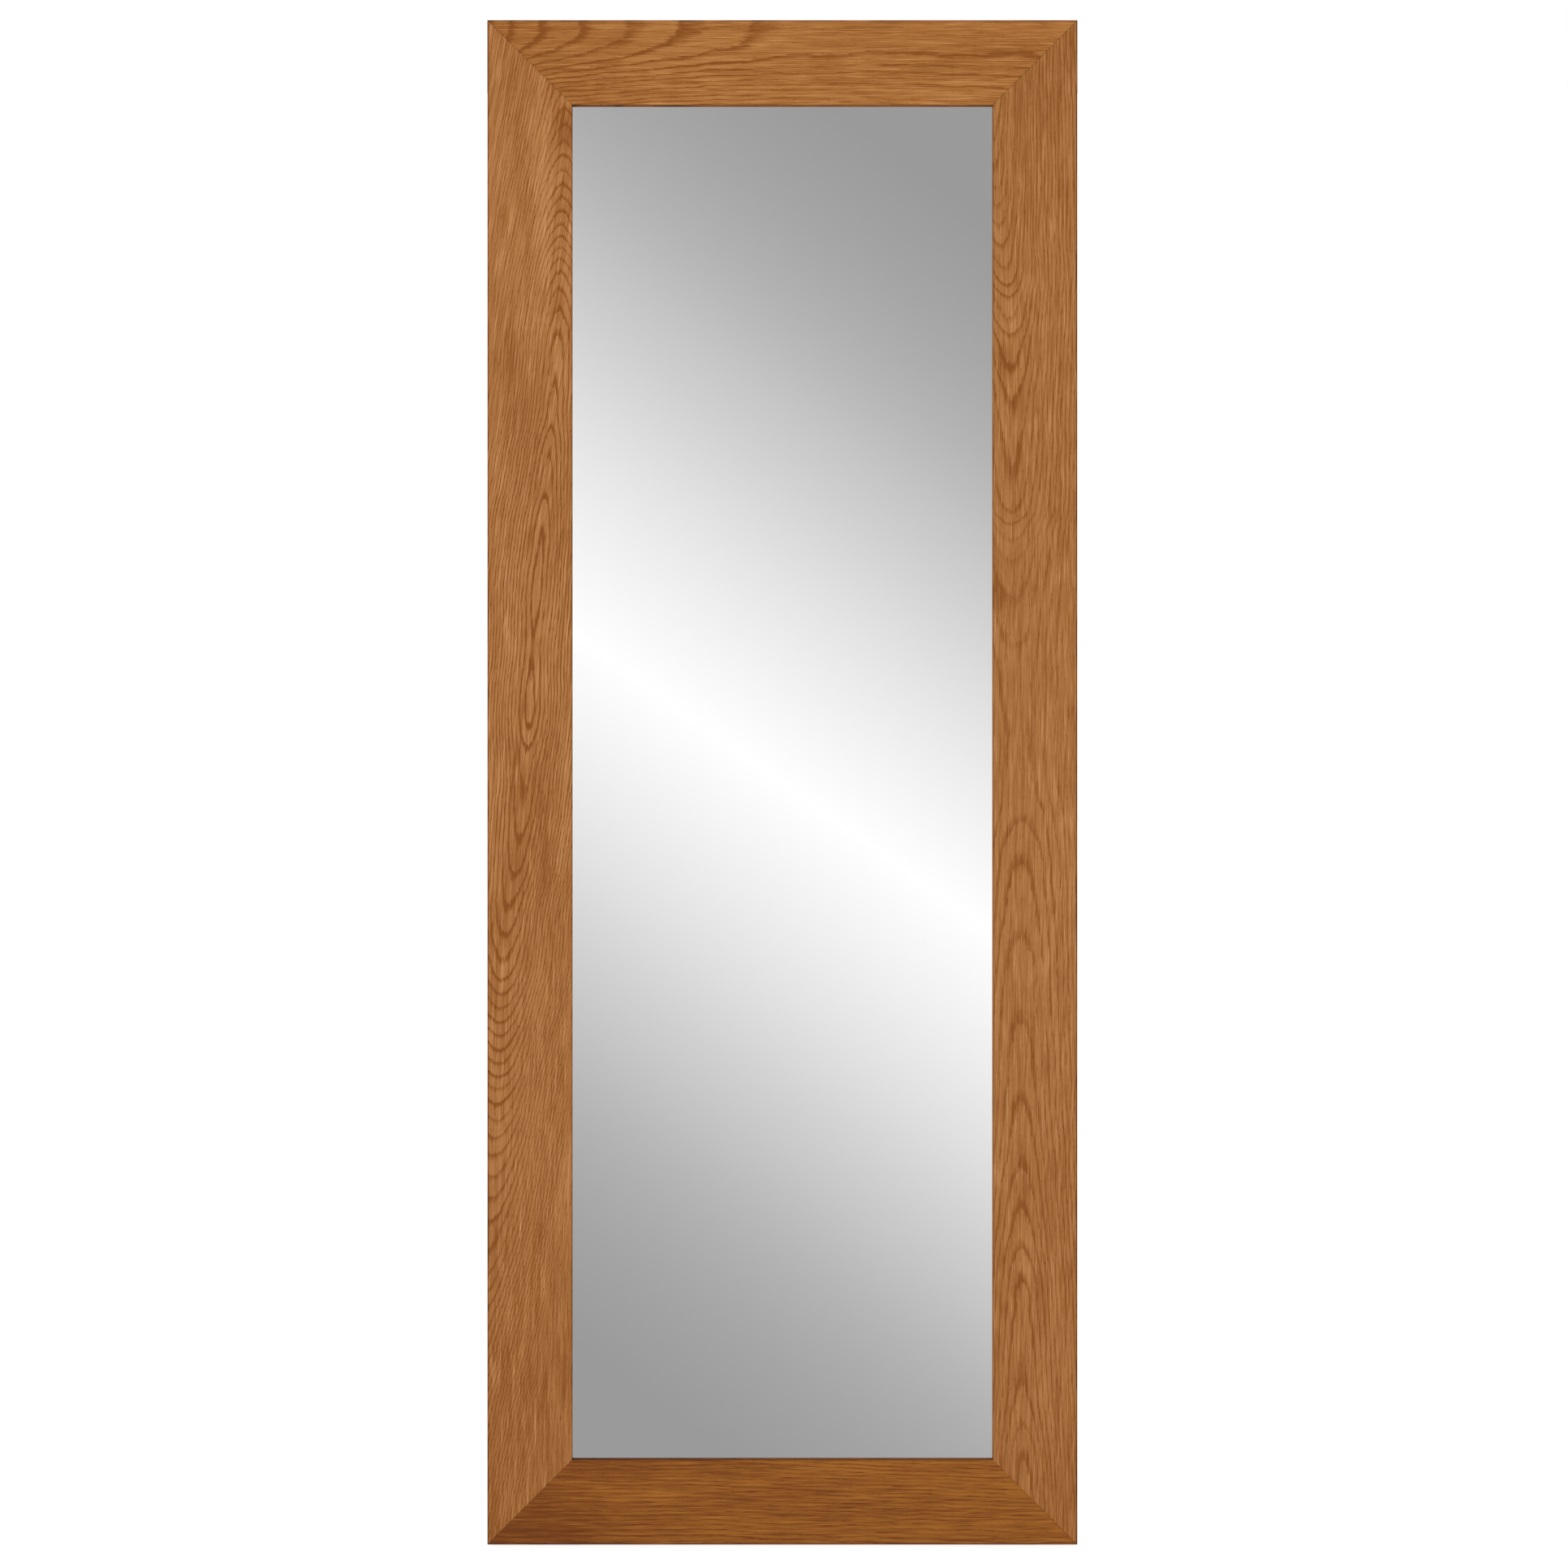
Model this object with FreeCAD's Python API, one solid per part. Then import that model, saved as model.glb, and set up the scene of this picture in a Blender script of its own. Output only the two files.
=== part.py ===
"""Freestanding floor mirror: a mitred oak frame that leans back on a hinged ladder strut.

The frame is four flat oak mouldings round a plain mirror pane, which a backing board and steel
clips hold in the rebate. A batten across the back carries two butt hinges, and the strut swings
from them until the hooked stays, one on each side, catch the pegs on its legs. Lifting the stays
off the pegs lets the strut fold flat against the frame.

Everything but the feet is modelled with the frame upright and the strut folded flat against it,
and the stays as they lie when the strut is open:
X runs across the frame, Y from its front face to its back, and Z up from its lower edge. The
pieces are then swung and leaned into the standing position. In the finished model the floor is
Z = 0, the mirror faces -Y, and the origin is the middle of the footprint of its bounding box.
"""
import FreeCAD, Part

import math
import os

# ---- Driving dimensions, in millimetres and degrees -------------------------------------------
FRAME_WIDTH = 698.0
FRAME_HEIGHT = 1803.0
FACE_WIDTH = 100.0
FRAME_DEPTH = 30.0
LIP_DEPTH = 10.0            # front face to the glass
REBATE_WIDTH = 10.0
EDGE_RADIUS = 1.2
PANE_CLEARANCE = 1.5        # between the pane's edge and the rebate's wall
GLASS_THICKNESS = 4.0
BOARD_THICKNESS = 3.0

LEAN = 9.0                  # frame from upright, tipped backwards
STRUT_ANGLE = 8.0           # strut from upright, foot backwards
HINGE_HEIGHT = 1180.0       # hinge axis above the frame's lower edge, along the frame

BATTEN_HEIGHT = 60.0
BATTEN_THICKNESS = 22.0
LEG_OUTER_X = 324.0
LEG_WIDTH = 40.0
LEG_THICKNESS = 19.0
STRUT_RAIL_HEIGHT = 60.0
LOW_RAIL_BOTTOM = 140.0
LOW_RAIL_HEIGHT = 50.0
LEG_EDGE_RADIUS = 2.0

HINGE_X = 180.0
HINGE_LENGTH = 70.0
HINGE_LEAF = 28.0
LEAF_THICKNESS = 2.0
KNUCKLE_RADIUS = 3.5
KNUCKLE_COUNT = 5
PIN_RADIUS = 1.6

STAY_FRAME_Z = 300.0        # the stay's pivot on the frame
PEG_Z = 260.0               # the strut's peg when folded
STAY_THICKNESS = 2.5
STAY_WIDTH = 14.0
STAY_GAP = 0.4              # between the stay and the plates beside it
HOOK_DROP = 8.0             # how far the stay's hook reaches below its straight edge
HOOK_LENGTH = 9.0
PEG_RADIUS = 3.0
PEG_HEAD_RADIUS = 5.5
PEG_CLEARANCE = 0.2
PLATE_THICKNESS = 1.6
RIVET_RADIUS = 2.5
RIVET_HEAD_RADIUS = 4.5
RIVET_HEAD_HEIGHT = 1.1

FRAME_PAD_CLEARANCE = 1.0   # lowest wood above the floor
FRAME_PAD_FRONT = 18.0      # far enough back for the rail to hide the pad
FRAME_PAD_INSET = 1.5       # from the rail's back
FRAME_PAD_X = (240.0, 300.0)
STRUT_PAD_THICKNESS = 4.0

SCREW_POINT = 3.0           # length of a screw's tapered tip

# ---- Worked-out places ------------------------------------------------------------------------
OPENING = LEAN + STRUT_ANGLE
HALF_WIDTH = FRAME_WIDTH / 2
REBATE_WALL = FACE_WIDTH - REBATE_WIDTH
PANE_EDGE = REBATE_WALL + PANE_CLEARANCE
GLASS_BACK = LIP_DEPTH + GLASS_THICKNESS
BOARD_BACK = GLASS_BACK + BOARD_THICKNESS
STRUT_BACK = FRAME_DEPTH + BATTEN_THICKNESS
STRUT_FRONT = STRUT_BACK - LEG_THICKNESS
LEG_INNER_X = LEG_OUTER_X - LEG_WIDTH
LEG_MIDDLE_Y = (STRUT_FRONT + STRUT_BACK) / 2
LEAF_BACK = STRUT_BACK + LEAF_THICKNESS
HINGE_Y = LEAF_BACK + 0.25
HINGE_GAP = KNUCKLE_RADIUS + 0.8
BATTEN_BOTTOM = HINGE_HEIGHT + HINGE_GAP
STRUT_TOP = HINGE_HEIGHT - HINGE_GAP
RUNNING_CLEARANCE = 0.05
FLAT_CLEARANCE = 0.3

STAY_X = LEG_OUTER_X + PLATE_THICKNESS + STAY_GAP
EAR_X = STAY_X + STAY_THICKNESS + STAY_GAP

X_AXIS = FreeCAD.Vector(1, 0, 0)
Y_AXIS = FreeCAD.Vector(0, 1, 0)
Z_AXIS = FreeCAD.Vector(0, 0, 1)
ORIGIN = FreeCAD.Vector(0, 0, 0)
SIDES = {"left": -1, "right": 1}
MOULDINGS = {
    "bottom": "bottom_rail",
    "left": "left_stile",
    "top": "top_rail",
    "right": "right_stile",
}
EVERYWHERE = (-400, 400)


def point(x, y, z):
    return FreeCAD.Vector(x, y, z)


def box(x, y, z):
    """A box from three (low, high) pairs."""
    return Part.makeBox(x[1] - x[0], y[1] - y[0], z[1] - z[0], point(x[0], y[0], z[0]))


def cylinder(start, direction, radius, length):
    return Part.makeCylinder(radius, length, start, direction)


def prism(outline, start, along):
    """Extrudes a closed outline of points, starting in its own plane moved by start."""
    wire = Part.makePolygon(outline + outline[:1])
    return Part.Face(wire).extrude(along).translated(start)


def rounded(shape, radius, chosen):
    """Fillets the edges for which chosen(edge) is true."""
    return shape.makeFillet(radius, [edge for edge in shape.Edges if chosen(edge)])


def runs_along(edge, axis):
    start, end = edge.Vertexes[0].Point, edge.Vertexes[-1].Point
    return (end - start).cross(axis).Length < 1e-6


def moved(shape, pose):
    copy = shape.copy()
    copy.Placement = pose.multiply(copy.Placement)
    return copy


def other_side(shape):
    return shape.mirror(ORIGIN, X_AXIS)


def on_side(shape, side):
    """Takes a shape built on the +X side to the side asked for."""
    return shape if SIDES[side] > 0 else other_side(shape)


# ---- Poses ------------------------------------------------------------------------------------
def turn(degrees, centre=ORIGIN):
    """A rotation about the X direction; a positive one swings what hangs below backwards."""
    return FreeCAD.Placement(ORIGIN, FreeCAD.Rotation(X_AXIS, degrees), centre)


def standing_pose():
    """Leans the frame back and sets it over the floor, with the footprint's middle at Y = 0."""
    lean = turn(-LEAN)
    lowest = lean.multVec(point(0, FRAME_DEPTH, 0)).z
    lift = FreeCAD.Placement(point(0, 0, FRAME_PAD_CLEARANCE - lowest), FreeCAD.Rotation())
    raised = lift.multiply(lean)
    axis = raised.multVec(point(0, HINGE_Y, HINGE_HEIGHT))
    slope = math.radians(STRUT_ANGLE)
    face = HINGE_Y - STRUT_BACK
    run = (axis.z - face * math.sin(slope)) / math.cos(slope)
    heel = axis.y + run * math.sin(slope) - face * math.cos(slope)
    tilt = math.radians(LEAN)
    toe = EDGE_RADIUS * (math.cos(tilt) + math.sin(tilt) - 1)
    centring = FreeCAD.Placement(point(0, -(toe + heel) / 2, 0), FreeCAD.Rotation())
    return centring.multiply(raised)


STANDING = standing_pose()
HINGE_AXIS = point(0, HINGE_Y, HINGE_HEIGHT)
OPENED = turn(OPENING, HINGE_AXIS)
STRUT_STANDING = STANDING.multiply(OPENED)

# The stay's pivot, the peg it hooks over, and its own length and slope when it rests on the peg
STAY_PIVOT = point(0, LEG_MIDDLE_Y, STAY_FRAME_Z)
PEG = point(0, LEG_MIDDLE_Y, PEG_Z)
OPEN_PEG = OPENED.multVec(PEG)
STAY_REACH = OPEN_PEG.distanceToPoint(STAY_PIVOT)
PEG_BELOW = STAY_WIDTH / 2 + PEG_CLEARANCE + PEG_RADIUS
PEG_ALONG = math.sqrt(STAY_REACH**2 - PEG_BELOW**2)
STAY_SLOPE = math.degrees(
    math.atan2(OPEN_PEG.z - STAY_PIVOT.z, OPEN_PEG.y - STAY_PIVOT.y)
    + math.asin(PEG_BELOW / STAY_REACH)
)
STAY_SWING = 90.0 - STAY_SLOPE


# ---- Screws and rivets ------------------------------------------------------------------------
def screw_blank(radius, length, countersunk):
    """A screw's body without its driving recess, head at the origin, pointing along -Z."""
    head = 2.0 * radius
    if countersunk:
        depth = head - radius
        top = Part.makeCone(head, radius, depth, ORIGIN, -Z_AXIS)
    else:
        depth = 0.0
        rise = 1.1 * radius
        disc = Part.makeCylinder(head, rise)
        top = rounded(disc, 0.6 * rise, lambda e: abs(e.BoundBox.ZMin - rise) < 1e-6)
    shank_length = length - depth - SCREW_POINT
    shank = cylinder(point(0, 0, -depth), -Z_AXIS, radius, shank_length)
    tip = Part.makeCone(radius, 0.3, SCREW_POINT, point(0, 0, -depth - shank_length), -Z_AXIS)
    return top.fuse([shank, tip]).removeSplitter()


def cross_recess(radius, top):
    """The cross that a driver turns, cut down from the head's top."""
    arm = 1.15 * radius
    half = 0.24 * radius
    floor = top - 0.75 * radius
    one = box((-arm, arm), (-half, half), (floor, top + 1))
    two = box((-half, half), (-arm, arm), (floor, top + 1))
    return one.fuse(two)


class Screws:
    """A group of equal screws. Their bodies cut the holes; the finished screws are one node."""

    def __init__(self, radius, length, countersunk=True):
        self.blank = screw_blank(radius, length, countersunk)
        top = 0.0 if countersunk else 1.1 * radius
        self.finished = self.blank.cut(cross_recess(radius, top))
        self.poses = []

    def add(self, head, pointing):
        turned = FreeCAD.Rotation(-Z_AXIS, pointing)
        self.poses.append(FreeCAD.Placement(head, turned))

    def add_other_side(self):
        """Repeats every screw so far on the other side of X = 0."""
        for pose in list(self.poses):
            head = pose.Base
            pointing = pose.Rotation.multVec(-Z_AXIS)
            self.add(
                point(-head.x, head.y, head.z), point(-pointing.x, pointing.y, pointing.z)
            )

    def bodies(self):
        return [moved(self.blank, pose) for pose in self.poses]

    def node(self):
        return Part.makeCompound([moved(self.finished, pose) for pose in self.poses])


def rivet_head(place, outward):
    """A low domed head standing on a plate at place."""
    disc = cylinder(ORIGIN, Z_AXIS, RIVET_HEAD_RADIUS, RIVET_HEAD_HEIGHT)
    dome = rounded(disc, 0.8, lambda e: abs(e.BoundBox.ZMin - RIVET_HEAD_HEIGHT) < 1e-6)
    return moved(dome, FreeCAD.Placement(place, FreeCAD.Rotation(Z_AXIS, outward)))


# ---- Frame ------------------------------------------------------------------------------------
def rail_pose(side):
    """Takes the lower rail's own place, with its outer edge on Z = 0, to one side of the frame."""
    turns = {"bottom": 0, "left": 90, "top": 180, "right": -90}
    places = {
        "bottom": point(0, 0, 0),
        "left": point(-HALF_WIDTH, 0, FRAME_HEIGHT / 2),
        "top": point(0, 0, FRAME_HEIGHT),
        "right": point(HALF_WIDTH, 0, FRAME_HEIGHT / 2),
    }
    return FreeCAD.Placement(places[side], FreeCAD.Rotation(Y_AXIS, turns[side]))


def moulding(length):
    """One rebated moulding with eased edges and a mitre at each end."""
    half = length / 2
    section = [
        point(0, 0, 0),
        point(0, 0, FACE_WIDTH),
        point(0, LIP_DEPTH, FACE_WIDTH),
        point(0, LIP_DEPTH, REBATE_WALL),
        point(0, FRAME_DEPTH, REBATE_WALL),
        point(0, FRAME_DEPTH, 0),
    ]
    bar = prism(section, point(-half, 0, 0), point(length, 0, 0))

    def eased(edge):
        centre = edge.BoundBox.Center
        at_front = centre.y < 1e-6
        at_back_outside = centre.y > FRAME_DEPTH - 1e-6 and centre.z < 1e-6
        return runs_along(edge, X_AXIS) and (at_front or at_back_outside)

    outline = [
        point(-half, 0, 0),
        point(half, 0, 0),
        point(half - FACE_WIDTH, 0, FACE_WIDTH),
        point(-half + FACE_WIDTH, 0, FACE_WIDTH),
    ]
    mitred = prism(outline, ORIGIN, point(0, FRAME_DEPTH, 0))
    return rounded(bar, EDGE_RADIUS, eased).common(mitred)


def biscuits():
    """A beech biscuit across each mitre, halfway along it."""
    half_length, half_width, thickness, front = 28.0, 11.5, 4.0, 17.0
    radius = (half_length**2 + half_width**2) / (2 * half_width)
    reach = radius - half_width
    discs = [
        cylinder(point(0, 0, way * reach), Y_AXIS, radius, thickness) for way in (-1, 1)
    ]
    lens = discs[0].common(discs[1])
    x = HALF_WIDTH - FACE_WIDTH / 2
    found = []
    for x_way in (-1, 1):
        for z in (FACE_WIDTH / 2, FRAME_HEIGHT - FACE_WIDTH / 2):
            rising = (x_way > 0) == (z > FRAME_HEIGHT / 2)
            tilt = FreeCAD.Rotation(Y_AXIS, -45 if rising else 45)
            found.append(moved(lens, FreeCAD.Placement(point(x_way * x, front, z), tilt)))
    return found


def pane(front, thickness):
    return box(
        (-HALF_WIDTH + PANE_EDGE, HALF_WIDTH - PANE_EDGE),
        (front, front + thickness),
        (PANE_EDGE, FRAME_HEIGHT - PANE_EDGE),
    )


def setting_blocks():
    """Two rubber blocks that the glass stands on."""
    half_length = 30.0
    return Part.makeCompound([
        box(
            (x - half_length, x + half_length),
            (LIP_DEPTH, GLASS_BACK),
            (REBATE_WALL, PANE_EDGE),
        )
        for x in (-130.0, 130.0)
    ])


CLIP_WIDTH = 16.0
CLIP_THICKNESS = 1.2
CLIP_SCREW_INSET = 9.0
STILE_CLIPS = (260.0, 520.0, 780.0, 1040.0, 1330.0, 1560.0)
RAIL_CLIPS = (-120.0, 120.0)


def clip_poses():
    """The lower rail's clip carried to every place round the rebate."""
    poses = []
    for side in ("bottom", "top"):
        poses += [rail_pose(side).multiply(shift_x(x)) for x in RAIL_CLIPS]
    for z in STILE_CLIPS:
        along = z - FRAME_HEIGHT / 2
        poses.append(rail_pose("left").multiply(shift_x(-along)))
        poses.append(rail_pose("right").multiply(shift_x(along)))
    return poses


def shift_x(distance):
    return FreeCAD.Placement(point(distance, 0, 0), FreeCAD.Rotation())


def clip():
    """An offset clip: its foot on the board, its riser up the rebate, its tab on the frame."""
    wall = REBATE_WALL + 0.2
    bend = wall + CLIP_THICKNESS
    half = CLIP_WIDTH / 2
    top = FRAME_DEPTH + CLIP_THICKNESS
    outline = [
        point(-half, BOARD_BACK, wall),
        point(-half, BOARD_BACK, wall + 15),
        point(-half, BOARD_BACK + CLIP_THICKNESS, wall + 15),
        point(-half, BOARD_BACK + CLIP_THICKNESS, bend),
        point(-half, top, bend),
        point(-half, top, wall - 18),
        point(-half, FRAME_DEPTH, wall - 18),
        point(-half, FRAME_DEPTH, wall),
    ]
    strip = prism(outline, ORIGIN, point(CLIP_WIDTH, 0, 0))

    def free_corner(edge):
        at_end = edge.BoundBox.Center.z < wall - 17 or edge.BoundBox.Center.z > wall + 14
        return runs_along(edge, Y_AXIS) and at_end

    return rounded(strip, 3.0, free_corner)


CORNER_PLATE_THICKNESS = 1.8


def corner_plate(screws):
    """A steel L over the mitre at the lower +X corner; adds its four screws."""
    inset, reach, width = 3.0, 90.0, 18.0
    outer_x, outer_z = HALF_WIDTH - inset, inset
    outline = [
        point(outer_x, 0, outer_z),
        point(outer_x, 0, outer_z + reach),
        point(outer_x - width, 0, outer_z + reach),
        point(outer_x - width, 0, outer_z + width),
        point(outer_x - reach, 0, outer_z + width),
        point(outer_x - reach, 0, outer_z),
    ]
    plate = prism(outline, point(0, FRAME_DEPTH, 0), point(0, CORNER_PLATE_THICKNESS, 0))
    inner_corner = point(outer_x - width, 0, outer_z + width)

    def free_corner(edge):
        centre = edge.BoundBox.Center
        away = max(abs(centre.x - inner_corner.x), abs(centre.z - inner_corner.z))
        return runs_along(edge, Y_AXIS) and away > 1

    head_y = FRAME_DEPTH + CORNER_PLATE_THICKNESS
    for along in (38.0, 78.0):
        screws.add(point(outer_x - width / 2, head_y, outer_z + along), -Y_AXIS)
        screws.add(point(outer_x - along, head_y, outer_z + width / 2), -Y_AXIS)
    return rounded(plate, 4.0, free_corner)


def corner_plates(screws):
    """All four corner plates. Each is the first one or its mirror image."""
    first = corner_plate(screws)
    middle = point(0, 0, FRAME_HEIGHT / 2)
    for pose in list(screws.poses):
        head = pose.Base
        for x_way, from_top in ((-1, False), (1, True), (-1, True)):
            z = FRAME_HEIGHT - head.z if from_top else head.z
            screws.add(point(x_way * head.x, head.y, z), -Y_AXIS)
    upper = first.mirror(middle, Z_AXIS)
    return [first, other_side(first), upper, other_side(upper)]


# Across the frame, and above the batten's lower edge
BATTEN_SCREW_PLACES = ((275.0, 15.0), (275.0, 45.0), (308.0, 30.0))


def batten(screws):
    """The rail across the back that the hinges hang from; adds its screws into one stile."""
    top = BATTEN_BOTTOM + BATTEN_HEIGHT
    bar = box((-LEG_OUTER_X, LEG_OUTER_X), (FRAME_DEPTH, STRUT_BACK), (BATTEN_BOTTOM, top))
    for x, rise in BATTEN_SCREW_PLACES:
        screws.add(point(x, STRUT_BACK, BATTEN_BOTTOM + rise), -Y_AXIS)
    return rounded(bar, LEG_EDGE_RADIUS, lambda e: e.BoundBox.Center.y > STRUT_BACK - 1e-6)


def frame_pad():
    """A wedge of rubber under the lower rail, level with the floor once the frame leans."""
    below = 20.0
    block = box(FRAME_PAD_X, (FRAME_PAD_FRONT, FRAME_DEPTH - FRAME_PAD_INSET), (-below, 0.0))
    return moved(block, STANDING).common(box(EVERYWHERE, EVERYWHERE, (0, below)))


# ---- Hinges -----------------------------------------------------------------------------------
HINGE_START = HINGE_X - HINGE_LENGTH / 2
KNUCKLE_PITCH = HINGE_LENGTH / KNUCKLE_COUNT
KNUCKLE_GAP = 0.1
LEAF_SCREW_PLACES = ((-25.0, 13.0), (0.0, 20.0), (25.0, 13.0))  # along and away from the pin


def knuckles(remainder, radius, grow):
    """Every second knuckle, with its radius as given and its length grown at both ends."""
    return [
        cylinder(
            point(HINGE_START + KNUCKLE_PITCH * i + KNUCKLE_GAP - grow, HINGE_Y, HINGE_HEIGHT),
            X_AXIS,
            radius,
            KNUCKLE_PITCH - 2 * KNUCKLE_GAP + 2 * grow,
        )
        for i in range(KNUCKLE_COUNT)
        if i % 2 == remainder
    ]


def hinge_leaf(way, remainder, bore, screws):
    """A leaf above the pin (way 1) or below it (way -1); adds its screws."""
    far = HINGE_HEIGHT + way * HINGE_LEAF
    near = HINGE_HEIGHT + way * FLAT_CLEARANCE
    across = (HINGE_START + KNUCKLE_GAP, HINGE_START + HINGE_LENGTH - KNUCKLE_GAP)
    plate = box(across, (STRUT_BACK, LEAF_BACK), sorted((near, far)))
    corner_radius = 3.0
    plate = rounded(
        plate,
        corner_radius,
        lambda e: runs_along(e, Y_AXIS) and abs(e.BoundBox.Center.z - far) < 1e-6,
    )
    plate = plate.cut(knuckles(1 - remainder, KNUCKLE_RADIUS + 0.4, 2 * KNUCKLE_GAP))
    whole = plate.fuse(knuckles(remainder, KNUCKLE_RADIUS, 0))
    overrun = 1.0
    hole = cylinder(
        point(HINGE_START - overrun, HINGE_Y, HINGE_HEIGHT),
        X_AXIS,
        bore,
        HINGE_LENGTH + 2 * overrun,
    )
    for along, away in LEAF_SCREW_PLACES:
        screws.add(point(HINGE_X + along, LEAF_BACK, HINGE_HEIGHT + way * away), -Y_AXIS)
    return whole.cut(hole).removeSplitter()


def hinge_pin():
    """The pin with a low cap at each end."""
    cap = 1.2
    clear = 0.1
    start = HINGE_START - clear
    length = HINGE_LENGTH + 2 * clear
    pin = cylinder(point(start, HINGE_Y, HINGE_HEIGHT), X_AXIS, PIN_RADIUS, length)
    caps = [
        cylinder(point(x, HINGE_Y, HINGE_HEIGHT), X_AXIS, KNUCKLE_RADIUS - 0.6, cap)
        for x in (start - cap, start + length)
    ]
    return pin.fuse(caps).removeSplitter()


# ---- Strut ------------------------------------------------------------------------------------
def strut_leg():
    """The +X leg, longer than it will be: its foot is cut level once it stands."""
    bar = box((LEG_INNER_X, LEG_OUTER_X), (STRUT_FRONT, STRUT_BACK), (-30.0, STRUT_TOP))
    return rounded(bar, LEG_EDGE_RADIUS, lambda e: runs_along(e, Z_AXIS))


def strut_rail(bottom, height):
    bar = box((-LEG_INNER_X, LEG_INNER_X), (STRUT_FRONT, STRUT_BACK), (bottom, bottom + height))
    return rounded(bar, LEG_EDGE_RADIUS, lambda e: runs_along(e, X_AXIS))


def dowels(bottom, height):
    """Two dowels at each end of a strut rail, half in the rail and half in the leg."""
    radius, half_length, inset = 4.0, 20.0, 14.0
    return [
        cylinder(point(way * LEG_INNER_X - half_length, LEG_MIDDLE_Y, z), X_AXIS, radius,
                 2 * half_length)
        for way in (-1, 1)
        for z in (bottom + inset, bottom + height - inset)
    ]


# ---- Stays ------------------------------------------------------------------------------------
def stay():
    """The hooked bar in its resting place on the peg of the open strut."""
    half = STAY_WIDTH / 2
    inside = PEG_ALONG + PEG_RADIUS + PEG_CLEARANCE
    end = inside + HOOK_LENGTH
    outline = [
        point(0, 0, -half),
        point(0, inside, -half),
        point(0, inside, -half - HOOK_DROP),
        point(0, end, -half - HOOK_DROP),
        point(0, end, half),
        point(0, 0, half),
    ]
    strip = prism(outline, point(STAY_X, 0, 0), point(STAY_THICKNESS, 0, 0))

    def corner(y, z):
        return lambda e: (
            runs_along(e, X_AXIS)
            and abs(e.BoundBox.Center.y - y) < 1e-6
            and abs(e.BoundBox.Center.z - z) < 1e-6
        )

    strip = rounded(strip, 1.5, corner(inside, -half))
    strip = rounded(strip, 2.0, corner(inside, -half - HOOK_DROP))
    strip = rounded(strip, 5.0, corner(end, -half - HOOK_DROP))
    strip = rounded(strip, 7.0, corner(end, half))
    eye = cylinder(point(STAY_X, 0, 0), X_AXIS, half, STAY_THICKNESS)
    hole = cylinder(
        point(STAY_X - 1, 0, 0), X_AXIS, RIVET_RADIUS + RUNNING_CLEARANCE, STAY_THICKNESS + 2
    )
    bar = strip.fuse(eye).removeSplitter().cut(hole)
    return moved(bar, FreeCAD.Placement(STAY_PIVOT, FreeCAD.Rotation(X_AXIS, STAY_SLOPE)))


def stay_bracket(screws):
    """The steel angle on the stile that carries the stay; adds its two screws."""
    tab_radius = 8.0
    half_length = 24.0
    screw_rise = 16.0
    screw_x = EAR_X + 9.0
    base = box(
        (EAR_X, HALF_WIDTH - 3),
        (FRAME_DEPTH, FRAME_DEPTH + PLATE_THICKNESS),
        (STAY_FRAME_Z - half_length, STAY_FRAME_Z + half_length),
    )
    ear = box(
        (EAR_X, EAR_X + PLATE_THICKNESS),
        (FRAME_DEPTH, LEG_MIDDLE_Y),
        (STAY_FRAME_Z - tab_radius, STAY_FRAME_Z + tab_radius),
    )
    pivot = STAY_PIVOT + point(EAR_X, 0, 0)
    tip = cylinder(pivot, X_AXIS, tab_radius, PLATE_THICKNESS)
    hole = cylinder(pivot - X_AXIS, X_AXIS, RIVET_RADIUS, PLATE_THICKNESS + 2)
    for rise in (-screw_rise, screw_rise):
        head = point(screw_x, FRAME_DEPTH + PLATE_THICKNESS, STAY_FRAME_Z + rise)
        screws.add(head, -Y_AXIS)
    base = rounded(
        base, 3.0, lambda e: runs_along(e, Y_AXIS) and e.BoundBox.Center.x > screw_x
    )
    return base.fuse([ear, tip]).removeSplitter().cut(hole)


def stay_rivet():
    """The rivet through the bracket's ear and the stay's eye."""
    start = STAY_PIVOT + point(STAY_X - 0.1, 0, 0)
    end = STAY_PIVOT + point(EAR_X + PLATE_THICKNESS, 0, 0)
    shank = cylinder(start, X_AXIS, RIVET_RADIUS, end.x - start.x)
    heads = [rivet_head(start, -X_AXIS), rivet_head(end, X_AXIS)]
    return shank.fuse(heads).removeSplitter()


def peg_plate(screws):
    """The plate on the leg's outer side that carries the peg; adds its two screws."""
    half_width = 8.0
    half_length = 30.0
    screw_rise = 20.0
    outside = LEG_OUTER_X + PLATE_THICKNESS
    plate = box(
        (LEG_OUTER_X, outside),
        (LEG_MIDDLE_Y - half_width, LEG_MIDDLE_Y + half_width),
        (PEG_Z - half_length, PEG_Z + half_length),
    )
    hole = cylinder(PEG + point(LEG_OUTER_X - 1, 0, 0), X_AXIS, PEG_RADIUS, PLATE_THICKNESS + 2)
    for rise in (-screw_rise, screw_rise):
        screws.add(point(outside, LEG_MIDDLE_Y, PEG_Z + rise), -X_AXIS)
    return rounded(plate, 4.0, lambda e: runs_along(e, X_AXIS)).cut(hole)


def peg():
    """The headed peg riveted through its plate, with its riveted end let into the leg."""
    inner_head = 1.5
    start = PEG + point(LEG_OUTER_X, 0, 0)
    head_place = PEG + point(EAR_X, 0, 0)
    shank = cylinder(start, X_AXIS, PEG_RADIUS, EAR_X - LEG_OUTER_X)
    inner = cylinder(start - X_AXIS * inner_head, X_AXIS, PEG_HEAD_RADIUS, inner_head)
    outer = cylinder(head_place, X_AXIS, PEG_HEAD_RADIUS, RIVET_HEAD_HEIGHT)
    far = head_place.x + RIVET_HEAD_HEIGHT
    outer = rounded(outer, 0.8, lambda e: abs(e.BoundBox.XMin - far) < 1e-6)
    return shank.fuse([inner, outer]).removeSplitter()


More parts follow.
